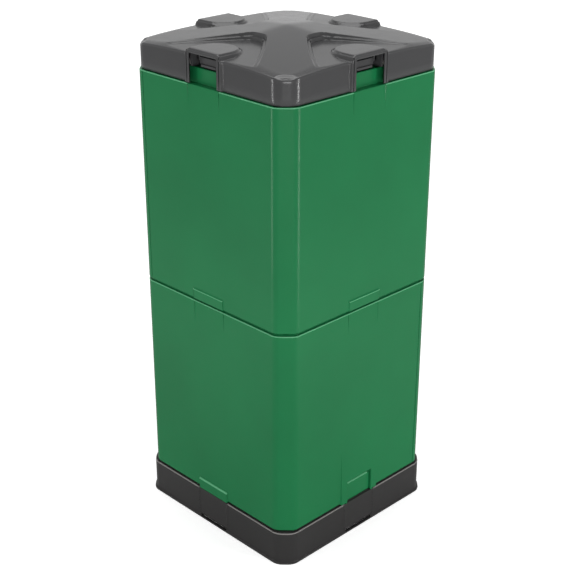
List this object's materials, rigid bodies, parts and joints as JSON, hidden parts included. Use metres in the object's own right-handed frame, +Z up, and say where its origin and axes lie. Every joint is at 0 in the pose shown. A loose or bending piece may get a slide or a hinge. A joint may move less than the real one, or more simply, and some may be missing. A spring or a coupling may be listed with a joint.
{
  "type": "compost bin",
  "caption": "Tall square insulated compost bin on a shallow base tank, with a lift-off lid, a pull-off lower panel and an air core.",
  "frame": {"origin": "on the ground, under the middle of the bin, in the plane of the foot lip's underside", "axes": "+Z up; -Y to the front wall, which carries the lower panel's pull flap; -X to the left wall"},
  "size_m": [0.522, 0.559, 1.228],
  "materials": {
    "green_plastic": "satin moulded polyethylene",
    "dark_grey_plastic": "satin moulded polyethylene",
    "black_plastic": "satin",
    "insulating_foam": "expanded bead foam",
    "zinc_plated_steel": "zinc plated",
    "black_rubber": "matte"
  },
  "bodies": {
    "bin": {"base_shell": "dark_grey_plastic", "base_deck": "dark_grey_plastic", "deck_screws": "zinc_plated_steel", "tap_body": "black_plastic", "tap_nut": "black_plastic", "tap_washer": "black_rubber", "core_lower_left": "black_plastic", "core_lower_right": "black_plastic", "core_joiner": "dark_grey_plastic", "core_upper_left": "black_plastic", "core_upper_right": "black_plastic", "core_cap": "dark_grey_plastic", "rear_lower_shell": "green_plastic", "rear_lower_foam": "insulating_foam", "rear_lower_liner": "black_plastic", "upper_front_shell": "green_plastic", "upper_front_foam": "insulating_foam", "upper_front_liner": "black_plastic", "upper_rear_shell": "green_plastic", "upper_rear_foam": "insulating_foam", "upper_rear_liner": "black_plastic", "seam_screws": "zinc_plated_steel"},
    "tap_lever": {"tap_lever": "dark_grey_plastic"},
    "access_panel": {"access_shell": "green_plastic", "access_foam": "insulating_foam", "access_liner": "black_plastic", "access_latch_pin": "zinc_plated_steel"},
    "panel_latch": {"access_latch": "green_plastic"},
    "lid": {"lid_shell": "dark_grey_plastic", "lid_foam": "insulating_foam", "lid_liner": "black_plastic", "lid_seal": "black_rubber", "lid_screws": "zinc_plated_steel", "lid_latch_pins": "zinc_plated_steel"},
    "latch_front": {"lid_latch_front": "dark_grey_plastic"},
    "latch_left": {"lid_latch_left": "dark_grey_plastic"},
    "latch_back": {"lid_latch_back": "dark_grey_plastic"},
    "latch_right": {"lid_latch_right": "dark_grey_plastic"}
  },
  "joints": [
    {"name": "lid_lift", "type": "slide", "parent": "bin", "child": "lid", "axis": [0, 0, 1], "range_m": [0, 0.35]},
    {"name": "latch_front_press", "type": "hinge", "parent": "lid", "child": "latch_front", "pos_m": [0, -0.226, 1.184], "axis": [1, 0, 0], "range_deg": [0, 8], "stiffness_Nm_per_rad": 0.8},
    {"name": "latch_left_press", "type": "hinge", "parent": "lid", "child": "latch_left", "pos_m": [-0.226, 0, 1.184], "axis": [0, -1, 0], "range_deg": [0, 8], "stiffness_Nm_per_rad": 0.8},
    {"name": "latch_back_press", "type": "hinge", "parent": "lid", "child": "latch_back", "pos_m": [0, 0.226, 1.184], "axis": [-1, 0, 0], "range_deg": [0, 8], "stiffness_Nm_per_rad": 0.8},
    {"name": "latch_right_press", "type": "hinge", "parent": "lid", "child": "latch_right", "pos_m": [0.226, 0, 1.184], "axis": [0, 1, 0], "range_deg": [0, 8], "stiffness_Nm_per_rad": 0.8},
    {"name": "panel_pull", "type": "slide", "parent": "bin", "child": "access_panel", "axis": [-0.7071, -0.7071, 0], "range_m": [0, 0.45]},
    {"name": "panel_latch_pull", "type": "hinge", "parent": "access_panel", "child": "panel_latch", "pos_m": [0, -0.247, 0.117], "axis": [1, 0, 0], "range_deg": [0, 30]},
    {"name": "tap_turn", "type": "hinge", "parent": "bin", "child": "tap_lever", "pos_m": [0, 0.287, 0.05], "axis": [0, 0, 1], "range_deg": [0, 90]}
  ]
}
